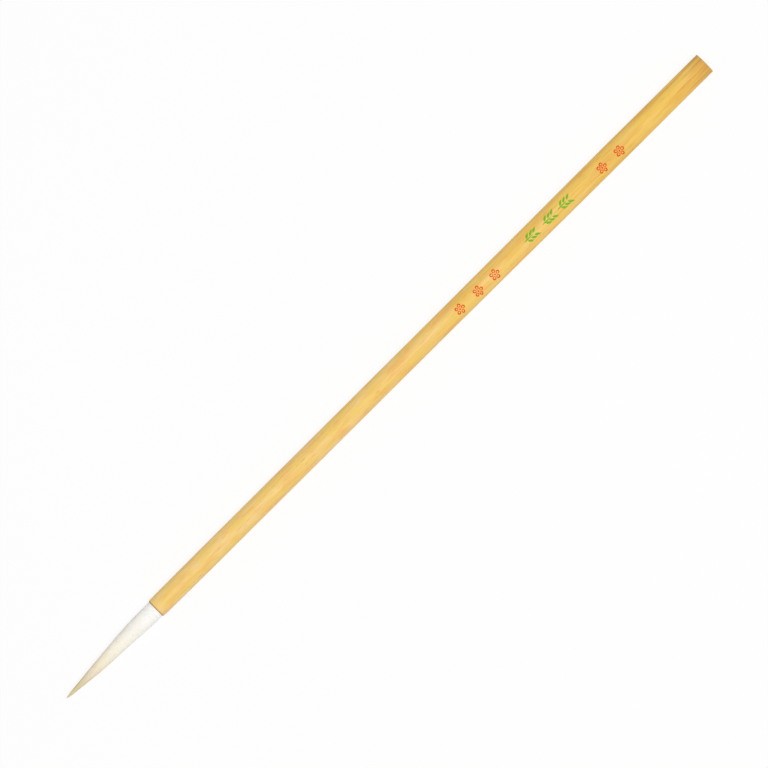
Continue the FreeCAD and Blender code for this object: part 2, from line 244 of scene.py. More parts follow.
# %% A finish
class Finish(Net):
    """A material. Numbers that are the same all over go straight onto the shader's sockets."""

    def __init__(self, name, **constants):
        self.material = bpy.data.materials.new(name)
        self.material.use_nodes = True
        super().__init__(self.material.node_tree)
        self.shader = self.tree.nodes["Principled BSDF"]
        for socket, value in constants.items():
            self.shader.inputs[socket.replace("_", " ")].default_value = value

    def bump(self, height, distance):
        """A bump of this depth in metres, on the shader's normal."""
        sockets = {"Height": height, "Distance": distance, "Strength": 1.0}
        self.join(self.shader.inputs["Normal"], self.node("ShaderNodeBump", None, sockets))

    def show(self, **links):
        """Links what changes over the surface to the shader."""
        for socket, value in links.items():
            self.join(self.shader.inputs[socket.replace("_", " ")], value)


def colour(red, green, blue):
    """A colour given as it looks on a screen, 0 to 255, in the linear numbers nodes use."""
    c = np.array([red, green, blue]) / 255
    linear = np.where(c <= 0.04045, c / 12.92, ((c + 0.055) / 1.055) ** 2.4)
    return (*linear.tolist(), 1.0)


print("honey in linear numbers:", [round(v, 3) for v in colour(243, 207, 130)])

# %% [markdown]
# ## Camera, floor and light
# The brush lies on a white table and is seen from straight above through a long lens, turned
# so that it climbs from the lower left corner to the upper right. The camera's place is worked
# out from the frame: how wide the view is at the brush, and how far the middle of the brush
# lies from the middle of the view. A long lens from far off keeps both ends the same size.

# %% Camera
LENS, SENSOR = 400.0, 36.0
WIDTH = 209.95  # millimetres of the table across the view
SLANT = np.radians(44.84)
ASIDE, ABOVE = 0.41, 0.957  # millimetres from the middle of the view to that of the brush
right = Vector((np.cos(SLANT), -np.sin(SLANT), 0))
up = Vector((np.sin(SLANT), np.cos(SLANT), 0))
low, high = cad_bounds
middle = (low + high) / 2
aim = middle - (ASIDE * right + ABOVE * up) * MM
aim.z = LENS / SENSOR * WIDTH * MM

lens = bpy.data.cameras.new("copy_stand")
lens.type, lens.lens, lens.sensor_width = "PERSP", LENS, SENSOR
camera = bpy.data.objects.new("copy_stand", lens)
turned = Matrix((right, up, (0, 0, 1))).transposed().to_4x4()
camera.matrix_world = Matrix.Translation(aim) @ turned
bpy.context.scene.collection.objects.link(camera)
bpy.context.scene.camera = camera
print("camera", round(aim.z, 3), "m above the axis")

# %% [markdown]
# The light is what a soft white tent gives: an even glow from all round, and one large panel
# beside the camera, so that both sides of the handle fall off gently. A white room that is lit
# for the brush would itself come out grey, so the floor and the tent are whiter to rays that
# look at them, straight or in a shine, than they are as lamps. The floor still takes a shadow.


# %% Rays that look at the room
def looking(net):
    """1 for a ray from the camera, from a shine or through glass, and 0 for one that lights."""
    kinds = ("Is Camera Ray", "Is Glossy Ray", "Is Transmission Ray")
    straight, shine, glass = (net.node("ShaderNodeLightPath", output=kind) for kind in kinds)
    return straight + shine.maths("MAXIMUM", shine, glass)


# %% Table
TABLE_SIDE = 3.0  # metres from its middle to each side
SHADOW_KEPT = 0.13  # how much of the lit table still shows in the white one

scene = bpy.context.scene
scene.view_settings.view_transform = "Standard"
sides = np.array([[-1, -1], [1, -1], [1, 1], [-1, 1]]) * TABLE_SIDE
table_mesh = bpy.data.meshes.new("table")
table_mesh.from_pydata([(x, y, low.z) for x, y in sides], [], [(0, 1, 2, 3)])
table = bpy.data.objects.new("table", table_mesh)
scene.collection.objects.link(table)

white = Finish(
    "white_table", Base_Color=(0.93, 0.93, 0.93, 1), Roughness=0.9, Specular_IOR_Level=0.1
)
glow = white.node("ShaderNodeEmission", None, {"Color": (1, 1, 1, 1), "Strength": 1.0})
lit = Wire(white, white.shader.outputs[0])
share = looking(white) * (1 - SHADOW_KEPT)
look = white.node("ShaderNodeMixShader", None, [share, lit, glow])
white.join(white.tree.nodes["Material Output"].inputs["Surface"], look)
table_mesh.materials.append(white.material)
print("table at z", round(low.z, 5), "m")

# %% Tent and panel
TENT = 0.43  # how bright the tent is as a lamp
PANEL_SIDE, PANEL_AWAY, PANEL_WATTS = 0.45, 0.95, 5.5
lean = np.radians(7)

tent = bpy.data.worlds.new("tent")
tent.use_nodes = True
scene.world = tent
cloth = Net(tent.node_tree)
background = tent.node_tree.nodes["Background"]
background.inputs["Color"].default_value = (1, 1, 1, 1)
cloth.join(background.inputs["Strength"], TENT + (1 - TENT) * looking(cloth))

panel_light = bpy.data.lights.new("panel", "AREA")
panel_light.shape, panel_light.size, panel_light.energy = "SQUARE", PANEL_SIDE, PANEL_WATTS
panel = bpy.data.objects.new("panel", panel_light)
direction = Vector((0.1, -np.sin(lean), np.cos(lean))).normalized()
faced = direction.to_track_quat("Z", "Y").to_matrix().to_4x4()
panel.matrix_world = Matrix.Translation(middle + direction * PANEL_AWAY) @ faced
scene.collection.objects.link(panel)
print("panel", PANEL_WATTS, "W,", PANEL_SIDE, "m square")

# %% [markdown]
# ## The handle's shape
# The handle is one closed surface: from the rim of the mouth out over a small bevel, along the
# barrel, over the sawn end, down the pith channel and back through the drilled socket. It is
# drawn as a profile, a line of stations and radii that returns to its start, and the profile is
# carried round the axis. The barrel has its own function of station and angle, because paint
# will later be laid on the same surface.

# %% Surface of the barrel
SWELL_AT = REAR - 37.0
REAR_R = SWELL_R - 0.06
FINER, FINER_OVER = 0.1, 25.0  # how much finer the barrel is at the mouth, and how far along
ROUND_OFF, RIBS, FIBRES = 0.020, 0.014, 0.012


def barrel_radius(station, angle):
    """Radius of the handle's outside at a station in millimetres and an angle.

    A straight grip, then a straight swell, then a slight fall to the rear end. Depths that are
    never negative come off it: one times the square of what is left of the first 25 mm, where
    the maker has scraped the barrel finer, and three times the half-sum of 1 and hills, for an
    uneven round, for broad ribs left by the fibre bundles, and for fine scratches of fibres."""
    plain = np.interp(station, [GRIP_END, SWELL_AT, REAR], [GRIP_R, SWELL_R, REAR_R])
    plain = plain - FINER * np.clip(1 - (station - MOUTH) / FINER_OVER, 0, 1) ** 2
    turn, share = angle / (2 * np.pi), (station - MOUTH) / (REAR - MOUTH)
    round_off = ROUND_OFF * (1 + hills(turn, share, 5, 7, seed=11)) / 2
    ribs = RIBS * (1 + hills(turn, share, 34, 9, seed=12)) / 2
    fibres = FIBRES * (1 + hills(turn, share, 120, 16, seed=13)) / 2
    return plain - round_off - ribs - fibres


angles = np.linspace(0, 2 * np.pi, 360, endpoint=False)
test = barrel_radius(np.linspace(MOUTH, REAR, 50)[:, None], angles)
print(f"barrel radius from {test.min():.3f} to {test.max():.3f} mm")

# %% [markdown]
# The ends are short profiles joined to the barrel. The maker rounds the mouth over with a
# knife, so its bevel swells a little, and breaks the edge of the sawn end. Inside, the pith
# channel and the drilled socket are plain, since only their first millimetres are ever seen.

# %% Profile of the handle
BEVEL, LAND, EDGE, PITH_R = 0.8, 0.09, 0.12, 0.9
DRILL_SLOPE = np.tan(np.radians(59))
ROWS = {"bevel": 12, "barrel": 168, "edge": 5, "face": 22, "pith": 14, "socket": 12, "land": 3}
OUTSIDE = ROWS["bevel"] + ROWS["barrel"] + ROWS["edge"]


def stretch(start, end, count, power=1.0):
    """Places from start up to but not including end, closer together near start as power grows."""
    return start + (end - start) * (np.arange(count) / count) ** power


t = stretch(0, 1, ROWS["bevel"], 1.5)
bevel_x, bevel_share = MOUTH + BEVEL * t, (1 - (1 - t) ** 2) ** 0.9
barrel_x = stretch(MOUTH + BEVEL, REAR - EDGE, ROWS["barrel"])
t = stretch(0, 1, ROWS["edge"])
edge_x, edge_drop = REAR - EDGE + EDGE * np.sin(t * np.pi / 2), EDGE * (1 - np.cos(t * np.pi / 2))
face_x, land_x = np.full(ROWS["face"], REAR), np.full(ROWS["land"], MOUTH)
pith_x = stretch(REAR, DRILL_END, ROWS["pith"], 2.0)
socket_x = stretch(DRILL_END, MOUTH, ROWS["socket"])
land_r = stretch(SOCKET_R, SOCKET_R + LAND, ROWS["land"])

station = np.concatenate([bevel_x, barrel_x, edge_x, face_x, pith_x, socket_x, land_x])[:, None]
rim_r = SOCKET_R + LAND
on_barrel = barrel_radius(np.clip(station[:OUTSIDE], MOUTH + BEVEL, REAR - EDGE), angles)
bevel = slice(ROWS["bevel"])
on_barrel[bevel] = rim_r + (on_barrel[bevel] - rim_r) * bevel_share[:, None]
on_barrel[-ROWS["edge"] :] -= edge_drop[:, None]
print(len(station), "rows, of which", len(on_barrel), "are outside")

# %% [markdown]
# The sawn end is nearly flat, with the marks of a fine saw and fibre ends that stand up a
# little. The pith channel is what is left of the soft middle, so it isn't quite round.

# %% The handle
SAW_DEPTH, FIBRE_END, SAW_LINES = 0.014, 0.012, 22  # the last in radians per millimetre
PITH_UNEVEN, PITH_LEAST = 0.03, 0.4
FACE_IN = 0.02  # how far inside the broken edge the sawn face starts

turn = angles / (2 * np.pi)
share = (np.arange(ROWS["face"]) / ROWS["face"])[:, None]
first = on_barrel[-1:] - FACE_IN
last = PITH_R + PITH_UNEVEN * hills(turn, 0.1, 9, 3, seed=21)
face = first + (last - first) * share
saw = FIBRE_END * (1 + hills(turn, share, 90, 20, seed=22)) / 2
saw += SAW_DEPTH * (1 + np.sin(face * np.sin(angles) * SAW_LINES)) / 2
saw *= np.minimum(1, 8 * share)  # no marks at the very edge, which meets the barrel's
down = (REAR - pith_x[:, None]) / 200
pith = np.maximum(PITH_LEAST, PITH_R + PITH_UNEVEN * hills(turn, down, 9, 30, seed=21))
socket = np.minimum(SOCKET_R, PITH_R + (DRILL_END - socket_x) * DRILL_SLOPE)
inside = [pith, socket[:, None] + 0 * turn, land_r[:, None] + 0 * turn]
radius = np.concatenate([on_barrel, face, *inside])
x = station + 0 * radius
x[OUTSIDE : OUTSIDE + ROWS["face"]] -= saw
handle_points = np.stack([x, radius * np.cos(angles), radius * np.sin(angles)], axis=-1)

# %% [markdown]
# A map spreads the surface out flat, so that the finish can later be stored as a picture. The
# barrel gets nearly nine tenths of its length, because that is what is looked at, and the ends
# and the inside share the rest.

# %% Map of the handle
within = ROWS["pith"] + ROWS["socket"] + ROWS["land"]
rows_of = [ROWS["bevel"], ROWS["barrel"], ROWS["edge"], ROWS["face"], within]
marks = [0.0, 0.02, 0.9, 0.905, 0.94, 1.0]
pieces = [stretch(a, b, count) for a, b, count in zip(marks, marks[1:], rows_of)]
along = np.concatenate([*pieces, [1.0]])
row, column = grid_faces(*radius.shape, rows_close=True)
handle_faces = (row % len(radius)) * len(angles) + column % len(angles)
handle_uv = np.stack([along[row], column / len(angles)], axis=-1)
handle = new_piece("bamboo_barrel", handle_points.reshape(-1, 3), [handle_faces], [handle_uv])
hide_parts("bamboo_handle")
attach(handle, "root")

# %% [markdown]
# ## The bamboo's finish
# Peeled bamboo is honey-coloured, with long soft patches of paler and rosier wood, and fine
# darker fibres that run dead straight. Noise that is stretched a hundred times along X gives
# both: it depends on where a point lies across the stick and hardly at all on how far along.
# Where fibres are sparse the wood between them is paler still. A few short flecks are fibres
# that the knife cut open. The stick is rosiest in its middle and older towards its rear end,
# so it turns a deeper yellow there and its streaks grow stronger.

# %% Patches and fibres
bamboo = Finish("bamboo", Specular_IOR_Level=0.3)
place = bamboo.node("ShaderNodeTexCoord", output="Object")
split = bamboo.node("ShaderNodeSeparateXYZ", None, [place])
along_x = Wire(bamboo, split.socket.node.outputs["X"])
back = bamboo.fade(along_x, -25 * MM, 145 * MM)

patches = bamboo.grain(place, (90, 420, 420), detail=3)
sap = bamboo.grain(place, (170, 900, 900), detail=2)
blush = bamboo.grain(place, (120, 700, 700), detail=2)
stain = bamboo.grain(place, (55, 380, 380), detail=2)
streaks = bamboo.grain(place, (60, 2600, 2600), detail=3, roughness=0.6)
fibres = bamboo.grain(place, (70, 8000, 8000), detail=2, roughness=0.6)
flecks = bamboo.grain(place, (330, 6500, 6500), detail=1)

wood = bamboo.mix(colour(243, 204, 111), colour(247, 211, 142), bamboo.fade(patches, 0.38, 0.66))
wood = bamboo.mix(wood, colour(242, 205, 88), 0.62 * bamboo.fade(sap, 0.48, 0.7))
rosy = bamboo.fade(blush, 0.46, 0.7) * (0.55 + 1.6 * back * (1 - back))
wood = bamboo.mix(wood, colour(243, 184, 106), rosy)
wood = bamboo.mix(wood, colour(242, 197, 84), 0.7 * back)
wood = bamboo.mix(wood, colour(224, 158, 60), 0.42 * bamboo.fade(stain, 0.46, 0.66) * back)
streaky = bamboo.fade(streaks, 0.5, 0.78) * (0.2 + 0.57 * back * back)
wood = bamboo.mix(wood, colour(206, 146, 62), streaky)
wood = bamboo.mix(wood, colour(186, 134, 66), 0.45 * bamboo.fade(fibres, 0.56, 0.8))
wood = bamboo.mix(wood, colour(255, 232, 172), 0.5 - 0.5 * bamboo.fade(fibres, 0.22, 0.44))
wood = bamboo.mix(wood, colour(186, 120, 46), 0.55 * bamboo.fade(flecks, 0.62, 0.8))
print("patches and fibres:", len(bamboo.tree.nodes), "nodes")

# %% [markdown]
# The cut end has dried and is browner over its last few millimetres, further up some fibres
# than others. The mouth has a thin brown line of painted shade, where the bevel turns away
# from the light and meets the hair, laid over the browner skin that the knife cut through.

# %% Ends of the handle
dry = bamboo.fade(along_x + 0.024 * streaks, (REAR + 3.5) * MM, (REAR + 14) * MM)
wood = bamboo.mix(wood, colour(196, 140, 66), 0.66 * dry)
# painted shade: a thin brown line on the mouth's rim, over the cut skin's own brown
rim = 1 - bamboo.fade(along_x, (MOUTH + 0.12) * MM, (MOUTH + 0.38) * MM)
wood = bamboo.mix(wood, colour(158, 100, 50), 0.85 * rim)

# %% Dots of the fibre bundles on the sawn end
bundles = {"Vector": place, "Scale": 2600.0, "Randomness": 0.85}
dots = bamboo.node("ShaderNodeTexVoronoi", {"feature": "F1"}, bundles)
end_grain = bamboo.fade(along_x, (REAR - 0.09) * MM, (REAR - 0.05) * MM)
wood = bamboo.mix(wood, colour(214, 178, 118), 0.8 * end_grain)
wood = bamboo.mix(wood, colour(128, 86, 44), end_grain * (1 - bamboo.fade(dots, 0.18, 0.4)) * 0.8)
bamboo.show(Base_Color=wood, Roughness=0.38 + 0.2 * streaks + 0.2 * back)
bamboo.bump(streaks + 0.6 * fibres, 0.00002)
handle.data.materials.append(bamboo.material)
print("bamboo finish:", len(bamboo.tree.nodes), "nodes")

# %% [markdown]
# ## The outline of the tuft
# Dressed hair makes a spindle: a slight belly just ahead of the mouth, then a long taper whose
# radius falls as a power of the distance to the tip. Where the taper would grow past the belly,
# a soft minimum hands over to the neck. The middle of the tuft sways by a tenth of a millimetre,
# as a tuft that was smoothed by hand always does.

# %% Radius and lean of the tuft
LENGTH = ROOT - TIP
BELLY_AT, NECK_R, LEAN = FREE - 4.8, SOCKET_R - 0.06, 0.13
SOFT = 0.03  # how gently the taper hands over to the neck
FULL_R = BELLY_R - 0.05  # dressed hair draws in a little under the size the maker works to


def tuft_radius(reach):
    """Radius of the tuft at a distance from its tip, all in millimetres.

    Taper: full radius times (distance / belly distance) to the power 0.63, drawn in by an
    eighth about 5 mm from the tip, where wet hair pulls together: 1 - exp(-((d - 5) / 3)^2) / 8.
    Neck: a smooth step from the full radius down to the neck's, and on down to the bound root.
    The two meet in a soft minimum, -k log(exp(-taper / k) + exp(-neck / k))."""
    reach = np.maximum(reach, 0)
    taper = FULL_R * (reach / BELLY_AT) ** 0.63
    taper = taper * (1 - np.exp(-(((reach - 5) / 3) ** 2)) / 8)
    fall = np.clip((reach - BELLY_AT) / (FREE - BELLY_AT), 0, 1)
    neck = FULL_R - (FULL_R - NECK_R) * fall**2 * (3 - 2 * fall)
    neck -= (NECK_R - BOUND_R) * np.clip((reach - FREE) / 6.0, 0, 1)
    return -SOFT * np.logaddexp(-taper / SOFT, -neck / SOFT)


def tuft_lean(reach):
    """How far the middle of the tuft lies off the axis, in millimetres.

    Minus the lean up to 10 mm from the tip, then two thirds of a cosine wave, which is furthest
    to the other side of the axis at 25 mm. All of it fades out over the last 8 mm before the
    mouth."""
    wave = -np.cos(np.pi * np.clip(reach - 10, 0, 20) / 15)
    return LEAN * wave * np.clip((FREE - reach) / 8, 0, 1)


print("tuft radii at 0, 10, 20, 30 mm:", tuft_radius(np.array([0, 10, 20, 30.0])).round(3))

# %% [markdown]
# ## Hairs
# Each hair is a thin tube of three sides. It starts inside the socket, follows the outline of
# the tuft, wanders a little to each side, and ends at its own distance from the tip. Dressed
# hair lies flat and close, so only the crest of a tube stands out: its feet are sunk in the
# packed hair below, and the crest dives in as well over its last few millimetres, which draws
# the hair out to a fine point. The side between the feet is shaded flat, because smooth shading
# would carry its inward slope up round the hair and make white hair look grey. All hairs of a
# group are worked out together as one array of points: hairs by rings by corners.


# %% Tubes for all the hairs of a group
def hair_tubes(crest, outward, width, tall):
    """Points and faces of tubes of three sides along many lines at once.

    Crest and outward are (hairs, rings, 3), width and tall are (hairs, rings). The line's
    direction crossed with outward gives the side, side crossed with direction gives up. Each
    ring has a corner on the crest and two feet, at crest - tall up -+ width / 2 side. The
    second of the three sides lies between the feet."""
    hairs, rings = width.shape
    ahead = np.gradient(crest, axis=1)
    ahead /= np.linalg.norm(ahead, axis=-1, keepdims=True)
    side = np.cross(ahead, outward)
    side /= np.linalg.norm(side, axis=-1, keepdims=True)
    below = crest - tall[..., None] * np.cross(side, ahead)
    across = width[..., None] / 2 * side
    points = np.stack([crest, below - across, below + across], axis=2)

    hair = np.arange(hairs)[:, None, None, None] * rings * 3
    j = np.arange(rings - 1)[:, None, None]
    k = np.arange(3)[:, None]
    corner_row, corner_side = j + [0, 1, 1, 0], k + [0, 0, 1, 1]
    quads = (hair + corner_row * 3 + corner_side % 3).reshape(-1, 4)
    first = hair[:, 0, 0] + [0, 1, 2]
    last = hair[:, 0, 0] + (rings - 1) * 3 + [2, 1, 0]
    shape = (hairs, rings - 1, 3, 4)
    corner_row, corner_side = (np.broadcast_to(c, shape) for c in (corner_row, corner_side))
    return points.reshape(-1, 3), quads, np.concatenate([first, last]), corner_row, corner_side


# %% Lines that the hairs follow
SUNK = 0.008  # millimetres from the outline of the tuft down to its packed core
RIDGE = 0.008  # how much deeper the core is between its ridges
TALL = 0.028  # from the crest of a hair to its feet, more than both together
FINE, COARSE = 0.062, 0.088  # widths of the finest and the coarsest hair between its feet
WANDER, WAVE = 0.12, 0.022  # how far hairs stray sideways, together and each alone
WANDER_NET = 44.0  # millimetres along the brush that the net of the shared wander covers


def hair_lines(count, rings, start, ends, seed, below=0.0):
    """Crest, outward direction, width and height of hairs, and each ring's distance from the tip.

    Distance from the tip falls from start to the hair's own end as (1 - t)^1.35, so that rings
    gather where the tuft is thin. The crest lies up to half a height under the outline. Over
    the last 0.5 mm, and 0.4 mm more for each millimetre that the hair ends short of the tip, it
    dives as the square of the share it has passed. The angle is the hair's own plus a slow
    wander shared by neighbours and a small wave of its own."""
    rng = np.random.default_rng(seed)
    own = rng.uniform(0, 1, (7, count, 1))
    t = np.linspace(0, 1, rings)
    end = ends(own[0])
    reach = end + (start + 1.5 * own[1] - end) * (1 - t) ** 1.35
    ending = np.clip(1 - (reach - end) / (0.5 + 0.4 * end), 0, 1) ** 2
    width = FINE + (COARSE - FINE) * own[2]
    width = width * np.clip(0.4 + reach / 16, 0, 1) * (1 - 0.6 * ending)
    surface = tuft_radius(reach) - below
    radius = surface - TALL / 2 * own[3] ** 2 - 0.8 * TALL * ending
    angle = 2 * np.pi * (np.arange(count)[:, None] + own[4]) / count
    shared = WANDER * hills(angle / (2 * np.pi), reach / WANDER_NET, 15, 5, seed + 1)
    alone = WAVE * np.sin(2 * np.pi * (reach / (9 + 12 * own[5]) + own[6]))
    angle = angle + (shared + alone) * np.minimum(1, reach / 6) / np.maximum(surface, 0.4)
    radius = np.maximum(radius, 0.01)
    outward = np.stack([0 * angle, np.cos(angle), np.sin(angle)], axis=-1)
    crest = radius[..., None] * outward
    crest[..., 0] += TIP + reach
    crest[..., 1] += tuft_lean(reach)
    return crest, outward, width, np.minimum(TALL, 0.7 * radius), reach


# %% [markdown]
# Under the loose-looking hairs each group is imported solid, so every group also has a core: a
# closed sleeve with fine ridges, a little below the hairs. Its profile runs along the outside
# from the front edge to the root and comes back along the inside, next to the shorter hairs
# it is wrapped round.

# %% Core of a group
CORE_COLUMNS = HAIR_ROWS = 128  # faces round a core, and rows of hairs on the map


def hair_core(outline, seed):
    """Points, faces and UVs of a closed sleeve of packed hair.

    The outline is a closed list of (distance from the tip, radius). The half-sum of 1 and hills,
    times the ridges' depth, is taken off it, but never more than a tenth of the radius."""
    reach, radius = np.array(outline).T[:, :, None]
    turn = np.arange(CORE_COLUMNS) / CORE_COLUMNS
    ridges = RIDGE * (1 + hills(turn, reach / LENGTH, 64, 12, seed)) / 2
    radius = radius - np.minimum(ridges, 0.1 * radius)
    angle = 2 * np.pi * turn
    points = np.stack(
        [
            TIP + reach + 0 * radius,
            tuft_lean(reach) + radius * np.cos(angle),
            radius * np.sin(angle),
        ],
        axis=-1,
    )
    row, column = grid_faces(len(reach), CORE_COLUMNS, rows_close=True)
    faces = (row % len(reach)) * CORE_COLUMNS + column % CORE_COLUMNS
    uv = np.stack([reach[row % len(reach), 0] / LENGTH, column / CORE_COLUMNS], axis=-1)
    return points.reshape(-1, 3), faces, uv


def hair_group(name, node, outline, lines, seed):
    """One group of hair: its packed core and its separate hairs, in one mesh."""
    points, faces, uv = hair_core(outline, seed)
    *tube_lines, reach = lines
    tubes, quads, caps, ring, side = hair_tubes(*tube_lines)
    hairs = len(reach)
    place = (np.arange(hairs) % HAIR_ROWS)[:, None, None, None]
    across = (place + side / 3) / HAIR_ROWS
    down = reach[np.arange(hairs)[:, None, None, None], ring] / LENGTH
    quad_uv = np.stack([down, across], axis=-1)
    cap_uv = np.zeros((len(caps), 3, 2))
    piece = new_piece(
        name,
        np.concatenate([points, tubes]),
        [faces, quads + len(points), caps + len(points)],
        [uv, quad_uv, cap_uv],
        flat=slice(len(faces) + 1, len(faces) + len(quads), 3),
        merge=True,
    )
    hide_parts(node)
    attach(piece, "root")
    return piece


# %% [markdown]
# ## The five groups
# A brush maker sorts hair by length. The longest hairs, the life of the brush, run down the
# middle to the very tip. Three shorter groups are wrapped round them to fill the throat, the
# belly and the waist, and a thin coat of fine long hair covers everything. Only the coat and
# the point show, so the coat gets by far the most hairs, and in the other groups the separate
# hairs reach only a little way under the next group.

# %% Outlines of the groups
COAT_AT, THROAT_AT, BELLY_FROM, WAIST_AT = 2.7, 6.2, 14.2, 23.2
COAT_WALL = 0.15
DIVE_IN, DIVE_OUT = 0.6, 1.6  # from the coat's edge to where it is up, and the life is under it
shares = np.sqrt(np.cumsum([0.07, 0.16, 0.26, 0.3])) * BOUND_R  # life, throat, belly, waist


def under(reach):
    """Radius under the coat."""
    return tuft_radius(np.asarray(reach, float)) - COAT_WALL


def outside(start, end, count, lower):
    """Outline along the outside of the tuft, this much below it."""
    reach = np.linspace(start, end, count)
    return np.stack([reach, np.maximum(tuft_radius(reach) - lower, 0.0)], axis=1)


life_outline = np.concatenate(
    [
        [[0.0, 0.0]],
        outside(0.12, 1.0, 5, SUNK)[:-1],
        outside(1.0, COAT_AT + 0.5, 8, SUNK),
        outside(COAT_AT + DIVE_OUT, THROAT_AT, 6, COAT_WALL),
        [[THROAT_AT + 0.1, under(THROAT_AT) - 0.05], [FREE, shares[0]], [LENGTH, shares[0]]],
        [[LENGTH, 0.0]],
    ]
)
coat_outline = np.concatenate(
    [
        outside(COAT_AT, COAT_AT, 1, SUNK + 0.04),
        outside(COAT_AT + DIVE_IN, LENGTH - 0.02, 60, SUNK),
        [[LENGTH, shares[3]], [FREE, shares[3]], [BELLY_AT, under(BELLY_AT)]],
        outside(COAT_AT, BELLY_AT, 24, COAT_WALL)[-2::-1],
    ]
)
print("life outline", len(life_outline), "points, coat outline", len(coat_outline), "points")


# %% Life hairs and outer coat
def spread(low, high, power):
    """Ends of the hairs, from low to high, gathered near low as power grows."""
    return lambda own: low + (high - low) * own**power


life_lines = hair_lines(260, 13, 12.0, spread(0.15, 4.0, 1.2), seed=31)
life = hair_group("life_hair_bundle", "life_hairs", life_outline, life_lines, 41)
coat_lines = hair_lines(1500, 13, FREE + 1.5, spread(2.0, 25.0, 1.6), seed=32)
coat = hair_group("outer_hair_coat", "outer_hairs", coat_outline, coat_lines, 42)

# %% [markdown]
# The three inner groups are hidden while the brush is whole, but each is a piece of its own
# that can be taken out and looked at. They are made the same way, each with a front edge of
# loose hairs of uneven length, as a group has when it is combed out before it is wrapped.


# %% Throat, belly and waist
def sleeve_outline(start, end, inner, outer):
    """Outline of an inner group from its front edge to the root, outside first."""
    front = np.linspace(start, end, 16)
    out = np.stack([front, under(front)], axis=1)
    return np.concatenate(
        [
            out,
            [[FREE, outer], [LENGTH, outer], [LENGTH, inner], [FREE, inner]],
            [[start, under(start) - 0.05]],
        ]
    )


edges = [THROAT_AT, BELLY_FROM, WAIST_AT, BELLY_AT]
inner_groups = []
for n, name in enumerate(["throat", "belly", "waist"]):
    start, end = edges[n], edges[n + 1]
    front = spread(start, start + 5.0, 1.5)
    lines = hair_lines(260, 9, end + 1.0, front, seed=51 + n, below=COAT_WALL)
    outline = sleeve_outline(start, end, shares[n], shares[n + 1])
    bundle = f"{name}_hair_bundle"
    inner_groups.append(hair_group(bundle, f"{name}_hairs", outline, lines, 43 + n))

# %% [markdown]
# ## The hair's finish
# Goat hair is white at the root, where the tuft is thick, and turns to a clear honey towards
# the tip, where only a few hairs are left and light goes through them. The map of each group
# runs along the hair one way and from hair to hair the other, so the colour can follow both.


# %% Colour of the hair
def hair_finish(name):
    hair = Finish(name, Specular_IOR_Level=0.3)
    place = hair.node("ShaderNodeUVMap", {"uv_map": "OFBake"})
    split = hair.node("ShaderNodeSeparateXYZ", None, [place])
    down = Wire(hair, split.socket.node.outputs["X"])
    stops = [
        (0.00, colour(218, 204, 160)),
        (0.10, colour(226, 210, 162)),
        (0.20, colour(238, 225, 196)),
        (0.31, colour(251, 239, 213)),
        (0.43, colour(254, 248, 231)),
        (0.60, colour(255, 251, 241)),
        (0.75, colour(255, 254, 250)),
    ]
    tone = hair.node("ShaderNodeValToRGB", {"stops": stops}, [down])
    tint = hair.grain(place, (6, 300, 0), detail=2)
    tone = hair.mix(tone, colour(232, 218, 188), 0.2 * hair.fade(tint, 0.5, 0.8))
    hair.show(Base_Color=tone, Roughness=0.42 + 0.2 * tint)
    return hair.material


goat_hair = hair_finish("goat_hair")
for piece in (life, coat, *inner_groups):
    piece.data.materials.append(goat_hair)
print("hair finish on", goat_hair.users, "pieces")

# %% [markdown]
# ## Painted marks
# Five plum blossoms and three leaf sprigs are brushed on the upper side of the handle. A
# stroke of lacquer is thickest in its middle and thins to its edge, so it is a flattened tube:
# a half-width carried along a path that is drawn flat, seen from above, and then laid on the
# barrel by asking the barrel's own function for its radius. The film stands 0.03 mm proud.


# %% A stroke of paint on the barrel
FILM, BURIED = 0.03, 0.06  # how high a stroke stands over the barrel, and how deep it goes in


def lay_stroke(path, half_width, closed=False, rounds=10):
    """Points and faces of one stroke, from its path (x, y) and half-width in millimetres.

    Round the stroke goes an angle f. The point lies half-width times cos f to the side of the
    path. It rises above the barrel by the film's height times sin f, and where sin f is
    negative it dips by the buried depth. Both are times the square root of the half-width over
    its largest, so a narrow end is thin. The barrel's angle there is the arc cosine of y over
    its radius."""
    ahead = np.gradient(path, axis=0)
    if closed:
        ahead = np.roll(path, -1, axis=0) - np.roll(path, 1, axis=0)
    ahead /= np.linalg.norm(ahead, axis=1, keepdims=True)
    side = np.stack([-ahead[:, 1], ahead[:, 0]], axis=1)
    f = np.arange(rounds) * 2 * np.pi / rounds
    spot = path[:, None] + side[:, None] * (half_width[:, None] * np.cos(f))[..., None]
    fullness = np.sqrt(half_width / half_width.max())[:, None]
    rise = np.where(np.sin(f) > 0, FILM, BURIED) * np.sin(f) * fullness
    x, y = spot[..., 0], spot[..., 1]
    angle = np.arccos(y / barrel_radius(x, np.pi / 2))
    radius = barrel_radius(x, angle) + rise
    points = np.stack([x, radius * np.cos(angle), radius * np.sin(angle)], axis=-1)
    row, column = grid_faces(len(path), rounds, rows_close=closed)
    return points.reshape(-1, 3), (row % len(path)) * rounds + column % rounds


def paint_piece(name, node, strokes):
    """One mesh from many strokes, which stands for the paint of one colour."""
    starts = np.cumsum([0] + [len(points) for points, _ in strokes])
    faces = [faces + start for (_, faces), start in zip(strokes, starts)]
    piece = new_piece(name, np.concatenate([points for points, _ in strokes]), faces, merge=True)
    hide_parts(node)
    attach(piece, "root")
    return piece


# %% [markdown]
# A blossom is five petals drawn as rings, each a little thicker on the side where the brush
# was pressed, and a dot for the eye. No two are quite the same size or turn.

# %% Plum blossoms
BLOSSOM_Y = -0.55
BLOSSOMS_AT = REAR - np.array([94.9, 87.9, 81.5, 40.2, 33.6])
PETAL_R, PETAL_OUT, STROKE, EYE = 0.395, 0.995, 0.14, 0.26  # strokes and eye by half their width

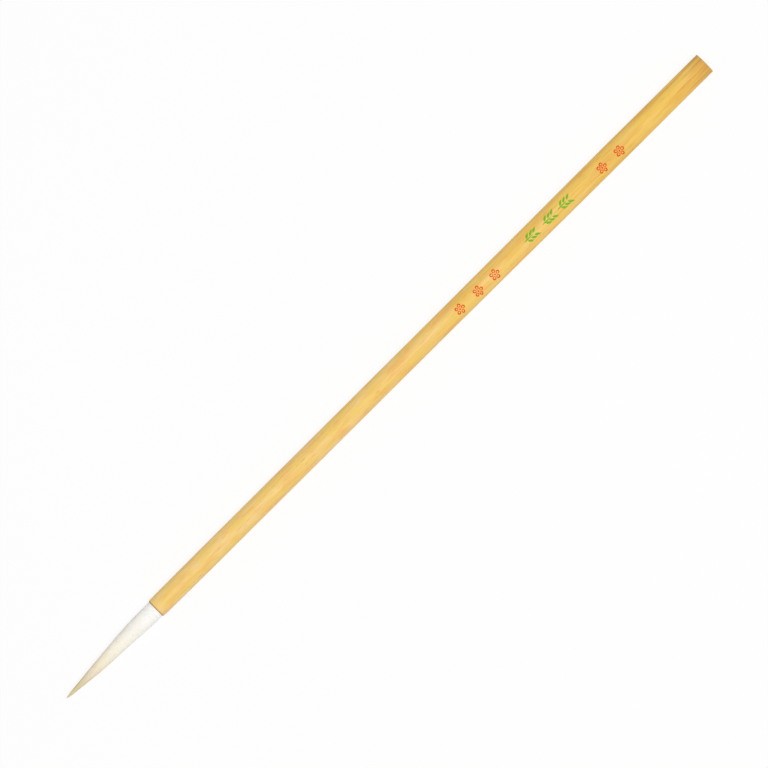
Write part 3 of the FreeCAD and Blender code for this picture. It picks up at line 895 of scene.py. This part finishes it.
rng = np.random.default_rng(71)
blossom_strokes = []
for station_x in BLOSSOMS_AT:
    middle = np.array([station_x, BLOSSOM_Y])
    swing = rng.uniform(-0.12, 0.12)
    for petal in range(5):
        out = 2 * np.pi * petal / 5 + swing
        t = np.linspace(0, 2 * np.pi, 28, endpoint=False)
        ring_r = PETAL_R * (1 + rng.uniform(-0.05, 0.05) + 0.06 * np.cos(2 * (t - out)))
        centre = middle + PETAL_OUT * np.array([np.cos(out), np.sin(out)])
        path = centre + ring_r[:, None] * np.stack([np.cos(t), np.sin(t)], axis=1)
        pressed = STROKE * (1 + 0.25 * np.cos(t - out - rng.uniform(-0.8, 0.8)))
        blossom_strokes.append(lay_stroke(path, pressed, closed=True))
    t = np.linspace(-1, 1, 13)
    eye = middle + np.stack([EYE * t, 0.03 * np.sin(2 * t)], axis=1)
    blossom_strokes.append(lay_stroke(eye, EYE * np.sqrt(1 - t**2)))
blossoms = paint_piece("blossom_paint", "red_blossom_paint", blossom_strokes)

# %% [markdown]
# A leaf is one press and lift of a pointed brush: it starts fine, swells before its middle and
# runs out to a point, and it bends a little towards the tip of the sprig. The stem is the same
# stroke drawn thin.


# %% Leaf sprigs
def leaf_stroke(foot, heading, length, half_width, bend):
    """A pointed stroke: half-width times sin(pi t^0.8), on a path whose heading turns by bend."""
    t = np.linspace(0, 1, 17)
    turned = heading + bend * t
    step = np.stack([np.cos(turned), np.sin(turned)], axis=1) * length / (len(t) - 1)
    path = foot + np.concatenate([[[0, 0]], np.cumsum(step[:-1], axis=0)])
    return lay_stroke(path, half_width * np.clip(np.sin(np.pi * t**0.8), 0, 1))


SPRIG_Y = -0.1
SPRIGS_AT = REAR - np.array([67.4, 60.5, 54.5])
STEM, STEM_STROKE = 3.6, 0.18
LEAF, LEAF_STROKE, LEAF_GAP, LEAF_OUT = 1.95, 0.32, 1.25, 0.25
LEAF_HEADING, LEAF_BEND = 44, 0.4  # in degrees from the stem, and in radians

sprig_strokes = []
for station_x in SPRIGS_AT:
    middle = np.array([station_x, SPRIG_Y])
    bow = rng.uniform(-0.1, 0.1)
    stem = middle - [STEM * 2 / 3, 0]
    sprig_strokes.append(leaf_stroke(stem, -bow / 2, STEM, STEM_STROKE, bow))
    for pair in range(3):
        for side in (1, -1):
            foot = middle + [(pair - 1) * LEAF_GAP, side * LEAF_OUT]
            length = LEAF * rng.uniform(0.94, 1.06)
            heading = side * np.radians(LEAF_HEADING + rng.uniform(-4, 4))
            leaf = leaf_stroke(foot, heading, length, LEAF_STROKE, -side * LEAF_BEND)
            sprig_strokes.append(leaf)
sprigs = paint_piece("sprig_paint", "green_sprig_paint", sprig_strokes)

# %% [markdown]
# Brushed lacquer is never one flat colour. Where the coat is thin the wood shows through, and
# it pools darker in the middle of a stroke. Noise at the scale of the stroke gives both.


# %% Lacquer
def lacquer(name, full, thin):
    """A satin lacquer that runs from its full colour to a thin one, in small soft patches."""
    paint = Finish(name, Specular_IOR_Level=0.2)
    place = paint.node("ShaderNodeTexCoord", output="Object")
    pool = paint.grain(place, (1800, 2600, 2600), detail=2)
    speck = paint.grain(place, (5000, 9000, 9000), detail=1)
    tone = paint.mix(full, thin, 0.4 * paint.fade(pool, 0.5, 0.75))
    tone = paint.mix(tone, colour(238, 196, 118), 0.22 * paint.fade(speck, 0.62, 0.78))
    paint.show(Base_Color=tone, Roughness=0.44 + 0.2 * pool)
    paint.bump(pool, 0.00001)
    return paint.material


red = lacquer("red_lacquer", colour(232, 72, 6), colour(236, 100, 20))
green = lacquer("green_lacquer", colour(110, 183, 30), colour(150, 198, 52))
blossoms.data.materials.append(red)
sprigs.data.materials.append(green)
print("lacquer on", len(blossom_strokes) + len(sprig_strokes), "strokes")

# %% [markdown]
# ## Inside the socket
# Three small pieces keep the tuft in the handle: the root of the hair, singed until it melts
# into a hard cake, the thread wound round it, and the glue. Their CAD shapes are right, so
# they keep them and only get their finishes.

# %% Glue
glue = Finish("amber_glue", Specular_IOR_Level=0.55)
place = glue.node("ShaderNodeTexCoord", output="Object")
cloud = glue.grain(place, (900, 900, 900), detail=3)
bubble = glue.node("ShaderNodeTexVoronoi", None, {"Vector": place, "Scale": 2600.0})
tone = glue.mix(colour(206, 160, 84), colour(168, 112, 48), glue.fade(cloud, 0.35, 0.7))
tone = glue.mix(tone, colour(232, 204, 150), 0.6 * (1 - glue.fade(bubble, 0.12, 0.22)))
glue.show(Base_Color=tone, Roughness=0.16 + 0.2 * cloud)
glue.bump(cloud, 0.00005)

# %% Singed root
char = Finish("singed_hair", Specular_IOR_Level=0.45)
place = char.node("ShaderNodeTexCoord", output="Object")
ends = char.node("ShaderNodeTexVoronoi", None, {"Vector": place, "Scale": 9000.0})
scorch = char.grain(place, (1100, 1100, 1100), detail=3)
tone = char.mix(colour(70, 46, 28), colour(24, 17, 12), char.fade(scorch, 0.35, 0.65))
tone = char.mix(tone, colour(128, 92, 56), 0.6 * (1 - char.fade(ends, 0.1, 0.35)))
char.show(Base_Color=tone, Roughness=0.45 + 0.35 * scorch)
char.bump(1 - ends, 0.00003)

# %% [markdown]
# Sewing thread is two strands twisted together, which shows as slanting stripes. On the wound
# thread, the angle round the brush and the station along it make those stripes.

# %% Twisted thread
thread = Finish("twisted_thread", Roughness=0.8, Specular_IOR_Level=0.2)
place = thread.node("ShaderNodeTexCoord", output="Object")
split = thread.node("ShaderNodeSeparateXYZ", None, [place]).socket.node.outputs
x, y, z = (Wire(thread, split[axis]) for axis in "XYZ")
around = y.maths("ARCTAN2", z, y)
ply = around.maths("SINE", around * 46 + x * (2 * np.pi / (0.13 * MM)))
fuzz = thread.grain(place, (9000, 9000, 9000), detail=2)
tone = thread.mix(colour(222, 208, 180), colour(164, 142, 106), 0.5 - 0.5 * ply)
tone = thread.mix(tone, colour(240, 230, 208), 0.5 * thread.fade(fuzz, 0.5, 0.75))
thread.show(Base_Color=tone)
thread.bump(0.7 * ply + fuzz, 0.00002)

for node, finish in (("socket_glue", glue), ("seared_root", char), ("root_thread", thread)):
    materials = frame["nodes"][node].data.materials
    if materials:
        materials[0] = finish.material
    else:
        materials.append(finish.material)
    print(node, "wears", finish.material.name)
